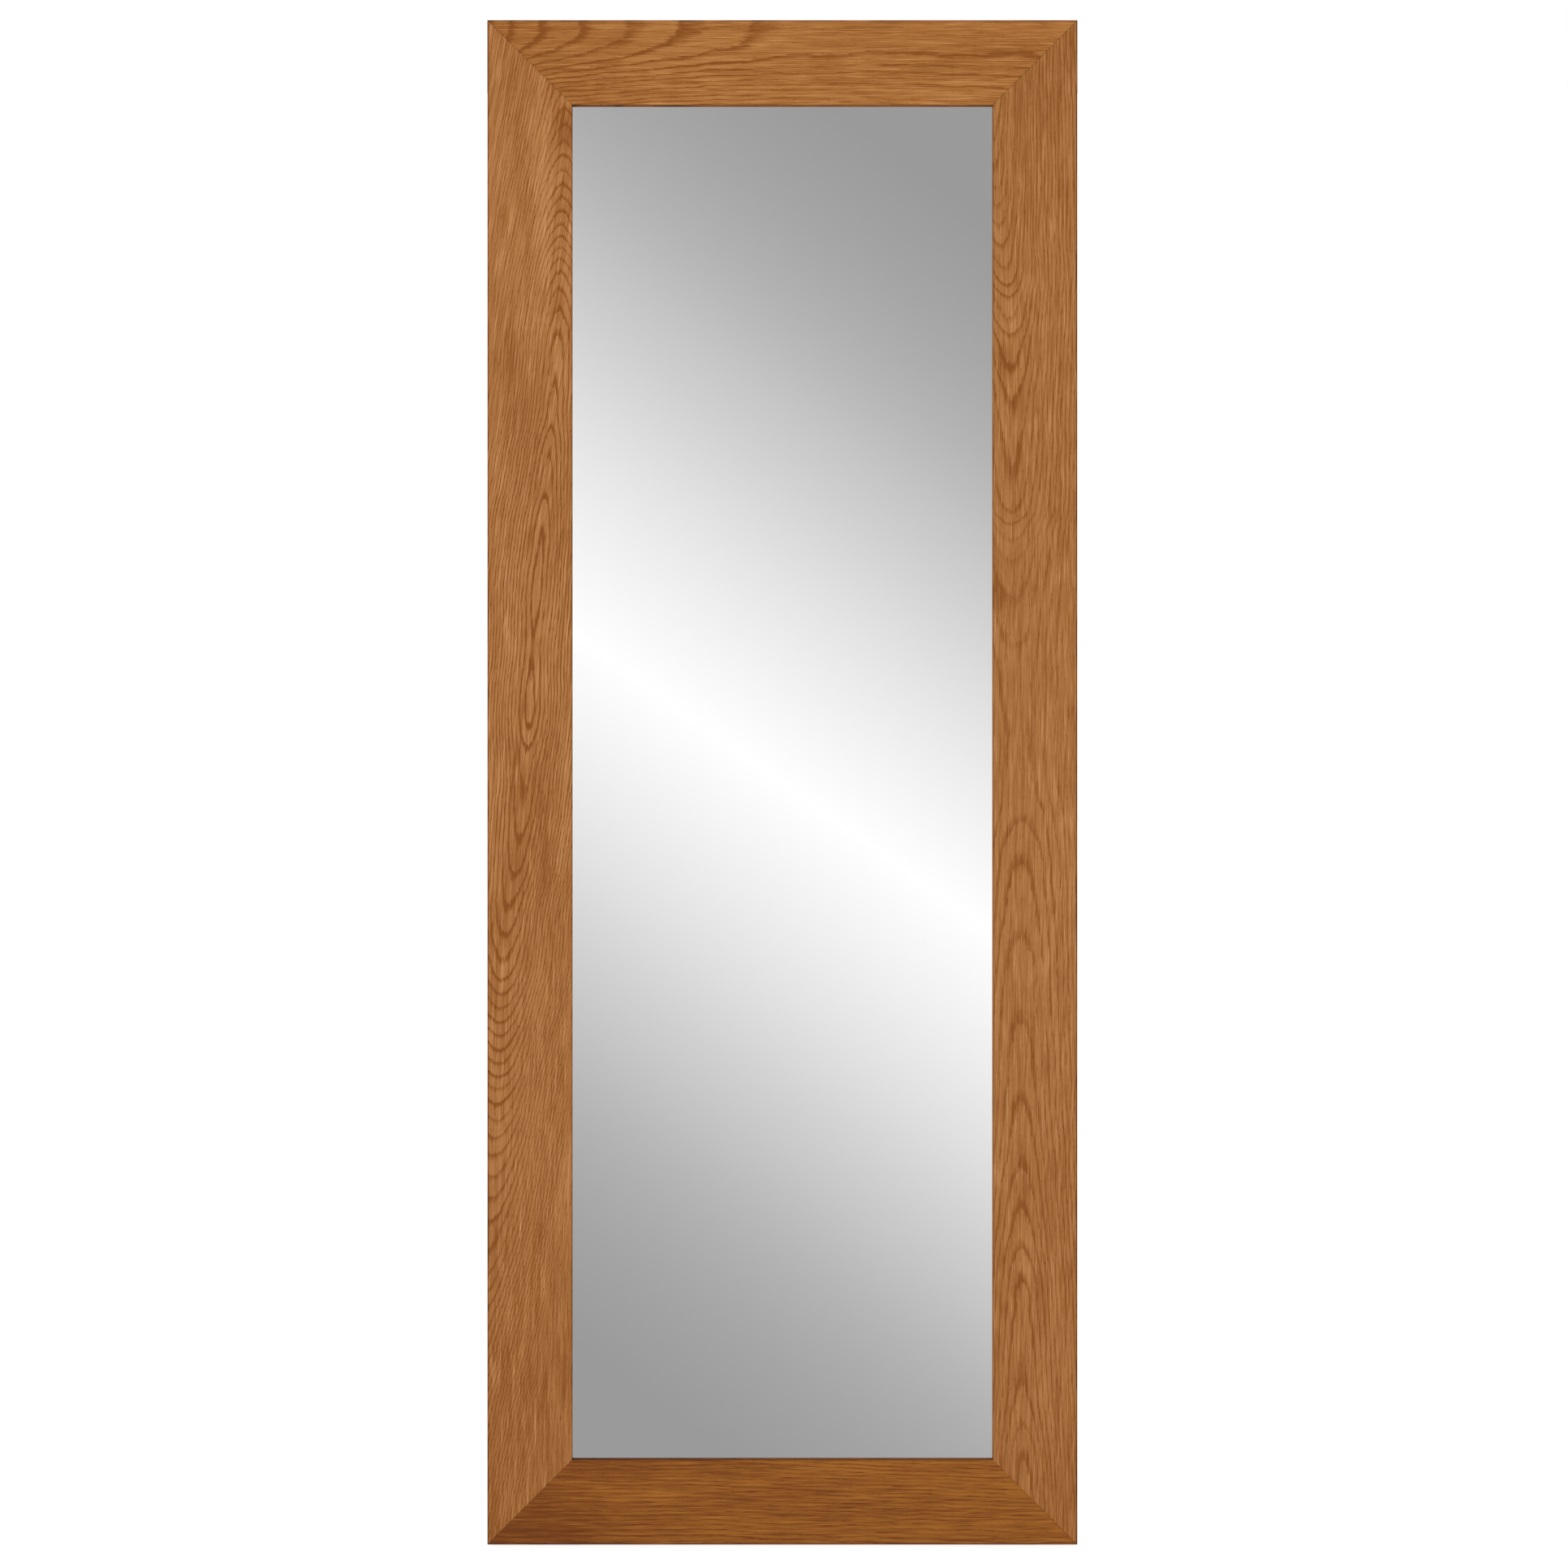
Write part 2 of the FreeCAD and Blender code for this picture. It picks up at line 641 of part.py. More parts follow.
# ---- Assembly ---------------------------------------------------------------------------------
def frame_nodes():
    """Every piece that stands still with the frame, upright."""
    corner_screws = Screws(1.75, 18.0)
    batten_screws = Screws(2.2, 42.0)
    clip_screws = Screws(1.7, 14.0, countersunk=False)
    hinge_screws = Screws(1.6, 18.0)
    bracket_screws = Screws(1.6, 16.0)

    plates = corner_plates(corner_screws)
    back_batten = batten(batten_screws)
    fixed_leaf = hinge_leaf(1, 0, PIN_RADIUS, hinge_screws)
    bracket = stay_bracket(bracket_screws)
    for group in (batten_screws, hinge_screws, bracket_screws):
        group.add_other_side()
    one_clip = clip()
    screw_place = point(0, FRAME_DEPTH + CLIP_THICKNESS, REBATE_WALL - CLIP_SCREW_INSET)
    clips = []
    for pose in clip_poses():
        clips.append(moved(one_clip, pose))
        clip_screws.add(pose.multVec(screw_place), -Y_AXIS)

    keys = biscuits()
    in_frame = list(keys)
    for group in (corner_screws, batten_screws, clip_screws, bracket_screws):
        in_frame += group.bodies()
    nodes = {}
    for side, name in MOULDINGS.items():
        length = FRAME_WIDTH if side in ("top", "bottom") else FRAME_HEIGHT
        nodes[name] = cut_by(moved(moulding(length), rail_pose(side)), in_frame)

    nodes["hinge_batten"] = cut_by(back_batten, batten_screws.bodies() + hinge_screws.bodies())
    nodes["mirror_glass"] = pane(LIP_DEPTH, GLASS_THICKNESS)
    nodes["backing_board"] = pane(GLASS_BACK, BOARD_THICKNESS)
    nodes["glass_setting_blocks"] = setting_blocks()
    nodes["mitre_biscuits"] = Part.makeCompound(keys)
    nodes["retaining_clips"] = cut_each(clips, clip_screws)
    nodes["corner_plates"] = cut_each(plates, corner_screws)
    one_side = {
        "hinge_{}_fixed_leaf": cut_by(fixed_leaf, hinge_screws.bodies()),
        "hinge_{}_pin": hinge_pin(),
        "stay_{}_bracket": cut_by(bracket, bracket_screws.bodies()),
        "stay_{}_rivet": stay_rivet(),
        "stay_{}_bar": stay(),
    }
    nodes.update(both_sides(one_side))
    nodes["corner_plate_screws"] = corner_screws.node()
    nodes["batten_screws"] = batten_screws.node()
    nodes["clip_screws"] = clip_screws.node()
    nodes["hinge_batten_screws"] = hinge_screws.node()
    nodes["stay_bracket_screws"] = bracket_screws.node()
    return nodes


def cut_by(shape, tools):
    """Cuts away the tools that come near the shape."""
    near = [tool for tool in tools if tool.BoundBox.intersect(shape.BoundBox)]
    return shape.cut(near) if near else shape


def cut_each(shapes, screws):
    """A group of equal pieces, each with its screw holes."""
    return Part.makeCompound([cut_by(shape, screws.bodies()) for shape in shapes])


def both_sides(shapes):
    """Two nodes for each shape built on the +X side."""
    return {
        name.format(side): on_side(shape, side)
        for name, shape in shapes.items()
        for side in SIDES
    }


def strut_nodes():
    """Every piece that swings with the strut, in the folded position and with over-long legs."""
    leaf_screws = Screws(1.6, 16.0)
    plate_screws = Screws(1.5, 14.0)
    moving_leaf = hinge_leaf(-1, 1, PIN_RADIUS + RUNNING_CLEARANCE, leaf_screws)
    plate = peg_plate(plate_screws)
    leaf_screws.add_other_side()
    plate_screws.add_other_side()

    rails = {
        "strut_top_rail": (STRUT_TOP - STRUT_RAIL_HEIGHT, STRUT_RAIL_HEIGHT),
        "strut_low_rail": (LOW_RAIL_BOTTOM, LOW_RAIL_HEIGHT),
    }
    pegs = []
    for bottom, height in rails.values():
        pegs += dowels(bottom, height)
    nodes = {}
    for name, (bottom, height) in rails.items():
        nodes[name] = cut_by(strut_rail(bottom, height), pegs + leaf_screws.bodies())
    one_side = {
        "strut_{}_leg": cut_by(strut_leg(), pegs + plate_screws.bodies() + [peg()]),
        "hinge_{}_moving_leaf": cut_by(moving_leaf, leaf_screws.bodies()),
        "stay_{}_peg_plate": cut_by(plate, plate_screws.bodies()),
        "stay_{}_peg": peg(),
    }
    nodes.update(both_sides(one_side))
    nodes["strut_dowels"] = Part.makeCompound(pegs)
    nodes["hinge_leaf_screws"] = leaf_screws.node()
    nodes["peg_plate_screws"] = plate_screws.node()
    return nodes


def standing_nodes():
    """Every node where it is when the mirror stands on the floor."""
    nodes = {name: moved(shape, STANDING) for name, shape in frame_nodes().items()}
    for name, shape in strut_nodes().items():
        nodes[name] = moved(shape, STRUT_STANDING)

    above_pads = box(EVERYWHERE, EVERYWHERE, (STRUT_PAD_THICKNESS, FRAME_HEIGHT))
    pad_layer = box(EVERYWHERE, EVERYWHERE, (0, STRUT_PAD_THICKNESS))
    for side in SIDES:
        leg = nodes[f"strut_{side}_leg"]
        nodes[f"strut_{side}_leg"] = leg.common(above_pads)
        nodes[f"strut_{side}_foot_pad"] = leg.common(pad_layer)
        nodes[f"frame_{side}_foot_pad"] = on_side(frame_pad(), side)
    return nodes


def main():
    os.makedirs("parts", exist_ok=True)
    for name, shape in standing_nodes().items():
        shape.exportStep(f"parts/{name}.step")
    hinge_place = STANDING.multVec(HINGE_AXIS)
    stay_place = STANDING.multVec(STAY_PIVOT)
    print(f"hinge axis at y {hinge_place.y:.3f}, z {hinge_place.z:.3f}, opening {OPENING:.1f}")
    print(f"stay pivot at y {stay_place.y:.3f}, z {stay_place.z:.3f}, swing {STAY_SWING:.3f}")


main()
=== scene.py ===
"""The looks of the freestanding floor mirror: honey oak, silvered glass and plated hardware.

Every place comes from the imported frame. The frame's own directions are called across (+X), deep
(from the mirror's face to its back) and up (along its stiles). All sizes are in metres.
"""
import math

import bpy
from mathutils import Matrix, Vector

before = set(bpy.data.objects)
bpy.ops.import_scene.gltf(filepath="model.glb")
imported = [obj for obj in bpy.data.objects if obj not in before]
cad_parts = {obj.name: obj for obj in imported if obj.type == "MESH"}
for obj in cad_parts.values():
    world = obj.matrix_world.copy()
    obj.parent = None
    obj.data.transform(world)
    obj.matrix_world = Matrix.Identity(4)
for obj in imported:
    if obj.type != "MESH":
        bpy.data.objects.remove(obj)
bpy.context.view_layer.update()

# ---- Driving dimensions -----------------------------------------------------------------------
CAMERA_DISTANCE = 5.3          # from the mirror's face
CAMERA_LENS = 102.9            # millimetres on a 36 mm sensor
CAMERA_AIM = (0.0019, -0.0019) # across and up from the middle of the face
ACROSS = Vector((1, 0, 0))

MIRROR_REFLECTANCE = 0.96
BAND_SLOPE = math.radians(35.5)      # the bright band in the mirror falls to the right
BAND_REACH = math.radians(7.3)       # from the band's middle to its plain grey
BAND_PERIOD = math.radians(16.5)
BAND_GREY = 0.323
BAND_FALL = ((0.0, 1.0), (0.25, 0.715), (0.5, 0.395), (0.75, 0.13), (1.0, 0.0))

AMBIENT = 0.64                 # the white surroundings' light on matt surfaces
KEY_LIGHT = 1.0
FILL_LIGHT = 0.6
FLOOR_HALF = 400.0             # so wide that its edge is never seen
FLOOR_GLOW = 0.88              # keeps the floor as white as the surroundings
FLOOR_TONES = ((0.0, (0.52, 0.52, 0.52)), (1.0, (0.55, 0.55, 0.55)))


# ---- Where things are -------------------------------------------------------------------------
def depth_axis(node):
    """The normal of a node's largest flat face, pointing towards +Y."""
    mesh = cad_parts[node].data
    normal = max(mesh.polygons, key=lambda face: face.area).normal.copy()
    normal.x = 0.0
    return (normal if normal.y > 0 else -normal).normalized()


def reach(node, direction):
    """The lowest and highest places of a node's vertices along a direction."""
    places = [vertex.co.dot(direction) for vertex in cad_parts[node].data.vertices]
    return min(places), max(places)


DEEP = depth_axis("mirror_glass")
UP = ACROSS.cross(DEEP)
FRONT = reach("bottom_rail", DEEP)[0]
LOW = reach("bottom_rail", UP)[0]
HIGH = reach("top_rail", UP)[1]
HALF_WIDTH = reach("right_stile", ACROSS)[1]
MIDDLE = (LOW + HIGH) / 2
HEIGHT = HIGH - LOW
WIDTH = 2 * HALF_WIDTH
FACE_WIDTH = HALF_WIDTH - reach("right_stile", ACROSS)[0]

# Directions with the place on the frame's outside that each is measured from.
UP_FROM_FOOT = (UP, LOW)
DOWN_FROM_TOP = (-UP, -HIGH)
RIGHT_FROM_LEFT = (ACROSS, -HALF_WIDTH)
LEFT_FROM_RIGHT = (-ACROSS, -HALF_WIDTH)
DEEP_FROM_FACE = (DEEP, FRONT)


# ---- Shader formulas --------------------------------------------------------------------------
class Num:
    """A number that runs through a shader tree, so that a material reads as a formula."""

    def __init__(self, tree, socket):
        self.tree = tree
        self.socket = socket

    def __add__(self, other):
        return math_node(self.tree, "ADD", self, other)

    def __radd__(self, other):
        return math_node(self.tree, "ADD", other, self)

    def __sub__(self, other):
        return math_node(self.tree, "SUBTRACT", self, other)

    def __rsub__(self, other):
        return math_node(self.tree, "SUBTRACT", other, self)

    def __mul__(self, other):
        return math_node(self.tree, "MULTIPLY", self, other)

    def __truediv__(self, other):
        return math_node(self.tree, "DIVIDE", self, other)

    def call(self, operation, *others):
        return math_node(self.tree, operation, self, *others)

    def clamped(self):
        return self.call("MAXIMUM", 0.0).call("MINIMUM", 1.0)


def feed(tree, socket, value):
    """Links a Num to a socket, or sets a plain number on it."""
    if isinstance(value, Num):
        tree.links.new(value.socket, socket)
    else:
        socket.default_value = value


def math_node(tree, operation, *values):
    """One step of a formula, from Nums and plain numbers."""
    node = tree.nodes.new("ShaderNodeMath")
    node.operation = operation
    for socket, value in zip(node.inputs, values):
        feed(tree, socket, value)
    return Num(tree, node.outputs[0])


def smooth(value, start, end):
    """0 before start and 1 after end, with a soft change between them."""
    node = value.tree.nodes.new("ShaderNodeMapRange")
    node.interpolation_type = "SMOOTHSTEP"
    for name, number in (("Value", value), ("From Min", start), ("From Max", end)):
        feed(value.tree, node.inputs[name], number)
    return Num(value.tree, node.outputs[0])


def along_axis(tree, vector, axis, start=0.0):
    """How far a point lies along an axis, from start."""
    node = tree.nodes.new("ShaderNodeVectorMath")
    node.operation = "DOT_PRODUCT"
    tree.links.new(vector, node.inputs[0])
    node.inputs[1].default_value = axis
    return Num(tree, node.outputs["Value"]) - start


def noise(x, y=0.0, z=0.0, detail=2.0, seed=0.0):
    """Soft noise about 0, from about -0.5 to 0.5."""
    tree = x.tree
    place = tree.nodes.new("ShaderNodeCombineXYZ")
    for socket, value in zip(place.inputs, (x + seed, y, z)):
        feed(tree, socket, value)
    node = tree.nodes.new("ShaderNodeTexNoise")
    node.inputs["Scale"].default_value = 1.0
    node.inputs["Detail"].default_value = detail
    tree.links.new(place.outputs[0], node.inputs["Vector"])
    return Num(tree, node.outputs[0]) - 0.5


def cell_value(whole, seed=0.0):
    """One random number from 0 to 1 for each whole number."""
    node = whole.tree.nodes.new("ShaderNodeTexWhiteNoise")
    node.noise_dimensions = "1D"
    feed(whole.tree, node.inputs["W"], whole + seed)
    return Num(whole.tree, node.outputs["Value"])


def curve(value, points):
    """A smooth curve through (place, height) points."""
    start, end = points[0][0], points[-1][0]
    low = min(height for _, height in points)
    high = max(height for _, height in points)
    span = (high - low) or 1.0
    node = value.tree.nodes.new("ShaderNodeFloatCurve")
    line = node.mapping.curves[0].points
    shares = [((place - start) / (end - start), (height - low) / span) for place, height in points]
    line[0].location, line[1].location = shares[0], shares[-1]
    for place, height in shares[1:-1]:
        line.new(place, height)
    node.mapping.update()
    feed(value.tree, node.inputs["Value"], (value - start) / (end - start))
    return Num(value.tree, node.outputs[0]) * span + low


def ramp(value, stops):
    """Colours by value, from (place, (red, green, blue)) stops."""
    node = value.tree.nodes.new("ShaderNodeValToRGB")
    marks = node.color_ramp.elements
    while len(marks) < len(stops):
        marks.new(0.5)
    for mark, (place, colour) in zip(marks, stops):
        mark.position = place
        mark.color = (*colour, 1.0)
    feed(value.tree, node.inputs[0], value)
    return node.outputs["Color"]


def new_material(name):
    """A material with its shader and the place of a point in the row's frame."""
    material = bpy.data.materials.new(name)
    material.use_nodes = True
    tree = material.node_tree
    shader = tree.nodes["Principled BSDF"]
    place = tree.nodes.new("ShaderNodeTexCoord").outputs["Object"]
    return material, tree, shader, place


def add_bump(tree, shader, height, distance):
    """Bump from a height of 0 to 1, where 1 stands for distance."""
    node = tree.nodes.new("ShaderNodeBump")
    node.inputs["Distance"].default_value = distance
    feed(tree, node.inputs["Height"], height)
    tree.links.new(node.outputs["Normal"], shader.inputs["Normal"])


def scaled(colour, factors):
    """A colour with each of its parts multiplied."""
    return tuple(part * factor for part, factor in zip(colour, factors))


# ---- Oak --------------------------------------------------------------------------------------
OAK_LIGHT = (0.485, 0.226, 0.086)
OAK_MIDDLE = (0.345, 0.137, 0.035)
OAK_DARK = (0.205, 0.059, 0.004)
# The last oak colour is for joint lines, worn edges and painted shade along the edges.
OAK_WORN_AND_SHADED = (0.085, 0.028, 0.003)
OAK_DARKNESS = 0.57            # of an even piece, from 0, light, to 1, dark
WOOD_SHARE = 0.8               # of the colour scale; what is left is for joint lines, worn edges and painted edge shade


class Board:
    """Where a board lies and how it was cut from its log.

    along, across and deep are the board's own directions, each with the place it starts from.
    The rest are (place, value) points: how far across the growth rings centre (pith) and how
    blunt their tips are (nose), by place along; how many rings pass along the board (passed),
    and how much of that is felt further out (fade); how many are crossed going sideways from
    their centre (crossed); how dark it is (shade); and how far the fibres have run across (slant).

    The other settings begin as ordinary oak. tint multiplies the colours, and contrast the whole
    texture. figure, gold and mottle are the strengths of the rings, the golden streaks and the
    clouds. arris_wear_and_shade darkens the outer edge, as wear and as painted shade, and
    sight_shade is painted shade on the inner edge, darker towards the glass. plain and bold are
    (place, strength) points for the rings, by distance from their centre and by place along.
    patches are blots: place along, place across, half length, half width and amount. Only a mitred
    moulding has a length.
    """

    def __init__(self, along, across, deep, pith, nose, passed, crossed, fade, shade, slant, seed):
        self.along = along
        self.across = across
        self.deep = deep
        self.pith = pith
        self.nose = nose
        self.passed = passed
        self.crossed = crossed
        self.fade = fade
        self.shade = shade
        self.slant = slant
        self.seed = seed
        self.tint = (1.0, 1.0, 1.0)
        self.contrast = 1.0
        self.figure = 0.55
        self.gold = 0.36
        self.mottle = 0.70
        # The outer arris darkens as wear and as painted shade.
        self.arris_wear_and_shade = 0.42
        # The sight edge darkens with painted shade.
        self.sight_shade = 0.24
        self.plain = ((0.0, 1.0), (0.17, 1.0))
        self.bold = ((0.0, 1.0), (1.0, 1.0))
        self.length = None
        self.patches = ()


def oak(name, board):
    """Flat-sawn oak: growth rings, open pores, golden streaks and rays.

    a, b and c are places along the board, across it and into it.
    """
    material, tree, shader, place = new_material(name)
    a = along_axis(tree, place, *board.along)
    b = along_axis(tree, place, *board.across)
    c = along_axis(tree, place, *board.deep)
    seed = board.seed

    sway = noise(a * 4.0, b * 9.0, c * 9.0, 1.0, seed) * 0.008
    ripple = noise(a * 26.0, b * 60.0, c * 60.0, 1.0, seed + 3.0) * 0.0030
    side = b - curve(a, board.pith) + sway + ripple
    nose = curve(a, board.nose)
    below = nose + c
    out = (side * side + below * below).call("SQRT") - nose
    drift = noise(a * 14.0, b * 14.0, c * 14.0, 1.0, seed + 5.0) * 0.9
    feather = noise(a * 55.0, b * 620.0, c * 620.0, 1.0, seed + 7.0) * 0.42
    passed = curve(a, board.passed) * curve(out, board.fade)
    rings = curve(out, board.crossed) + passed + drift + feather
    turn = rings.call("FRACT")
    ring_tone = cell_value(rings.call("FLOOR"), seed)
    early = (1.0 - smooth(turn, 0.02, 0.36)) + smooth(turn, 0.93, 1.0)
    early = early * curve(out, board.plain) * curve(a, board.bold)
    figure = early * (0.35 + ring_tone * 0.65)

    f = b - curve(a, board.slant)
    pores = smooth(noise(a * 34.0, f * 900.0, c * 900.0, 1.0, seed + 17.0), 0.02, 0.18)
    pores = pores * (0.3 + early * 0.7)
    streaks = noise(a * 8.0, f * 210.0, c * 210.0, 3.0, seed + 23.0)
    fibres = noise(a * 24.0, f * 760.0, c * 760.0, 2.0, seed + 29.0)
    gold = smooth(noise(a * 17.0, f * 560.0, c * 560.0, 1.0, seed + 31.0), 0.06, 0.26)
    rays = smooth(noise(a * 150.0, f * 900.0, c * 500.0, 0.0, seed + 35.0), 0.15, 0.30)
    mottle = noise(a * 3.0, b * 20.0, c * 20.0, 2.0, seed + 37.0)
    texture = (
        (figure - 0.19) * board.figure
        + (pores - 0.14) * 0.50
        + streaks * 0.80
        + fibres * 1.05
        - (gold - 0.14) * board.gold
        + (rays - 0.05) * 0.22
        + mottle * board.mottle
    )
    darkness = texture * board.contrast + OAK_DARKNESS + curve(a, board.shade)
    for patch in board.patches:
        darkness = darkness + blot(a, b, *patch)
    stops = ((0.0, OAK_LIGHT), (WOOD_SHARE / 2, OAK_MIDDLE), (WOOD_SHARE, OAK_DARK), (1.0, OAK_WORN_AND_SHADED))
    colours = [(stop, scaled(colour, board.tint)) for stop, colour in stops]
    tone = (darkness * WOOD_SHARE).call("MINIMUM", WOOD_SHARE)
    if board.length:
        tone = tone + edge_marks_and_shade(a, b, c, board)
    tree.links.new(ramp(tone.clamped(), colours), shader.inputs["Base Color"])
    wall = smooth(b, FACE_WIDTH - 0.0012, FACE_WIDTH - 0.0002) * 0.4
    feed(tree, shader.inputs["Roughness"], 0.44 + pores * 0.16 - streaks * 0.1 + wall)
    shader.inputs["Specular IOR Level"].default_value = 0.2
    add_bump(tree, shader, fibres * 0.5 - pores * 0.6 - figure * 0.25, 0.0002)
    return material


def blot(a, b, centre_a, centre_b, half_a, half_b, amount):
    """A soft darker or lighter patch in the board."""
    off_a = (a - centre_a) / half_a
    off_b = (b - centre_b) / half_b
    return (1.0 - smooth(off_a * off_a + off_b * off_b, 0.0, 1.0)) * amount


def edge_marks_and_shade(a, b, c, board):
    """The broken joint line at each mitre, wear and painted shade on the outer arris, and painted
    shade on the sight edge, darker towards the glass.
    """
    end = (a - board.length / 2).call("ABSOLUTE")
    from_mitre = (board.length / 2 - end - b).call("ABSOLUTE")
    worn = noise(a * 260.0, b * 260.0, 0.0, 2.0, board.seed + 41.0) * 1.6 + 0.5
    joint = (1.0 - smooth(from_mitre, 0.0002, 0.0013)) * worn.clamped() * 0.34
    # Wear and painted shade on the rounded outer arris.
    arris_wear_and_shade = (1.0 - smooth(b, 0.0010, 0.0022)) * (1.0 - smooth(c, 0.0012, 0.0028)) * board.arris_wear_and_shade
    # Painted shade on the inner lip, darker the deeper it goes towards the glass.
    shade_into_rebate = smooth(c, 0.0, 0.0040)
    sight_shade = smooth(b, FACE_WIDTH - 0.0010, FACE_WIDTH - 0.0002) * shade_into_rebate * board.sight_shade
    return joint + arris_wear_and_shade + sight_shade


def left_board():
    """Arches whose centre drifts from outside the outer edge to the inner one as they climb."""
    board = Board(
        UP_FROM_FOOT, RIGHT_FROM_LEFT, DEEP_FROM_FACE,
        pith=((0.0, -0.046), (0.25, -0.020), (0.43, 0.006), (0.58, 0.013), (0.72, 0.021),
              (0.81, 0.034), (0.95, 0.048), (1.06, 0.055), (1.19, 0.063), (1.33, 0.077),
              (1.44, 0.085), (1.67, 0.089), (HEIGHT, 0.095)),
        nose=((0.0, 0.026), (0.60, 0.024), (0.80, 0.011), (1.30, 0.004), (1.45, 0.010),
              (HEIGHT, 0.012)),
        passed=((0.0, 36.0), (0.22, 29.0), (0.38, 24.0), (0.4826, 20.0), (0.5785, 14.5),
                (0.64, 10.8), (0.69, 8.2), (0.75, 6.2), (0.815, 4.4), (0.873, 3.3),
                (0.936, 2.2), (0.970, 1.2), (0.998, 0.75), (1.058, 1.1), (1.15, 0.7),
                (1.205, 1.15), (1.249, 2.2), (1.298, 3.2), (1.330, 4.2), (1.38, 5.1),
                (1.44, 6.3), (1.56, 13.0), (1.67, 19.5), (HEIGHT, 26.0)),
        crossed=((0.0, 0.0), (0.012, 2.3), (0.030, 7.2), (0.060, 15.5), (0.17, 46.0)),
        fade=((0.0, 1.0), (0.17, 1.0)),
        shade=((0.0, 0.26), (0.40, 0.16), (0.80, 0.07), (1.10, 0.04), (1.50, 0.08), (HEIGHT, 0.08)),
        slant=((0.0, 0.0), (0.50, 0.012), (1.00, 0.040), (1.30, 0.075), (HEIGHT, 0.150)), seed=1.0,
    )
    board.length = HEIGHT
    board.plain = ((0.0, 1.0), (0.045, 1.0), (0.075, 0.35), (0.17, 0.18))
    board.bold = ((0.0, 1.0), (0.75, 1.0), (0.92, 1.35), (1.25, 1.35), (1.40, 0.95), (HEIGHT, 0.9))
    board.figure = 0.64
    board.tint = (1.0, 1.012, 1.05)
    board.gold = 0.48
    board.mottle = 0.75
    board.patches = ((1.677, 0.093, 0.035, 0.016, 0.30), (1.36, 0.034, 0.12, 0.018, 0.16),
                    (1.58, 0.064, 0.14, 0.020, -0.14), (0.90, 0.037, 0.06, 0.012, 0.16),
                    (1.46, 0.082, 0.05, 0.010, 0.14))
    return board


def right_board():
    """Arches that turn round just above the middle, centred towards the inner edge."""
    board = Board(
        UP_FROM_FOOT, LEFT_FROM_RIGHT, DEEP_FROM_FACE,
        pith=((0.0, 0.064), (0.50, 0.067), (0.95, 0.069), (1.10, 0.075), (1.43, 0.080),
              (1.55, 0.092), (1.67, 0.102), (HEIGHT, 0.110)),
        nose=((0.0, 0.016), (0.60, 0.018), (0.95, 0.022), (1.10, 0.022), (1.43, 0.020),
              (HEIGHT, 0.014)),
        passed=((0.0, -3.0), (0.095, -2.0), (0.143, -1.0), (0.198, 0.0), (0.308, 1.0),
                (0.352, 2.0), (0.396, 3.0), (0.452, 4.0), (0.519, 5.0), (0.62, 6.0),
                (0.719, 7.0), (0.802, 8.0), (0.855, 9.0), (0.92, 9.7), (1.00, 9.6),
                (1.06, 9.0), (1.122, 8.0), (1.163, 7.0), (1.189, 6.0),
                (1.208, 5.0), (1.226, 4.0), (1.279, 3.0), (1.352, 2.0), (1.393, 1.0),
                (1.431, 0.0), (1.449, -1.0), (1.4755, -2.0), (1.49, -3.0), (1.538, -5.0),
                (1.586, -7.0), (1.634, -9.0), (1.70, -11.0), (HEIGHT, -14.0)),
        crossed=((0.0, 0.0), (0.010, 1.7), (0.030, 6.0), (0.060, 12.5), (0.17, 36.0)),
        fade=((0.0, 1.0), (0.020, 0.80), (0.045, 0.55), (0.17, 0.45)),
        shade=((0.0, 0.24), (0.30, 0.15), (0.75, 0.09), (1.20, 0.09), (1.60, 0.14), (HEIGHT, 0.16)),
        slant=((0.0, 0.0), (HEIGHT, -0.02)), seed=5.0,
    )
    board.length = HEIGHT
    board.bold = ((0.0, 1.0), (0.80, 0.95), (0.92, 0.50), (1.16, 0.50), (1.26, 1.0), (HEIGHT, 1.1))
    board.figure = 0.41
    board.tint = (1.0, 1.035, 1.09)
    board.mottle = 0.35
    board.patches = ((1.125, 0.094, 0.030, 0.010, 0.30), (0.308, 0.072, 0.022, 0.014, 0.12),
                     (0.42, 0.066, 0.020, 0.014, 0.12), (1.40, 0.084, 0.030, 0.014, 0.14))
    return board


def top_board():
    """Rings centred near the outer edge, and closer together towards the inner one."""
    board = Board(
        RIGHT_FROM_LEFT, DOWN_FROM_TOP, DEEP_FROM_FACE,
        pith=((0.0, 0.001), (0.10, 0.000), (0.24, -0.003), (0.38, -0.010), (0.52, -0.012),
              (WIDTH, -0.004)),
        nose=((0.0, 0.004), (0.18, 0.006), (0.40, 0.022), (WIDTH, 0.030)),
        passed=((0.0, -1.0), (0.05, 0.7), (0.10, 1.9), (0.165, 3.0), (0.232, 4.0), (0.33, 5.0),
                (0.40, 5.5), (0.50, 5.6), (0.60, 5.55), (WIDTH, 5.3)),
        crossed=((0.0, 0.0), (0.015, 0.15), (0.030, 0.7), (0.045, 1.9), (0.060, 4.0),
                 (0.080, 7.6), (0.10, 11.6), (0.14, 20.0)),
        fade=((0.0, 1.0), (0.14, 0.8)),
        shade=((0.0, 0.30), (0.12, 0.23), (0.30, 0.10), (0.50, 0.10), (WIDTH, 0.15)),
        slant=((0.0, 0.0), (WIDTH, 0.0)), seed=9.0,
    )
    board.length = WIDTH
    board.bold = ((0.0, 1.15), (0.28, 1.05), (0.36, 0.70), (WIDTH, 0.70))
    board.figure = 0.56
    board.contrast = 1.09
    board.mottle = 0.35
    board.tint = (1.0, 0.985, 0.84)
    board.patches = ((0.610, 0.034, 0.085, 0.022, 0.12), (0.30, 0.010, 0.06, 0.008, 0.20))
    board.arris_wear_and_shade = 0.25
    board.sight_shade = 0.30
    return board


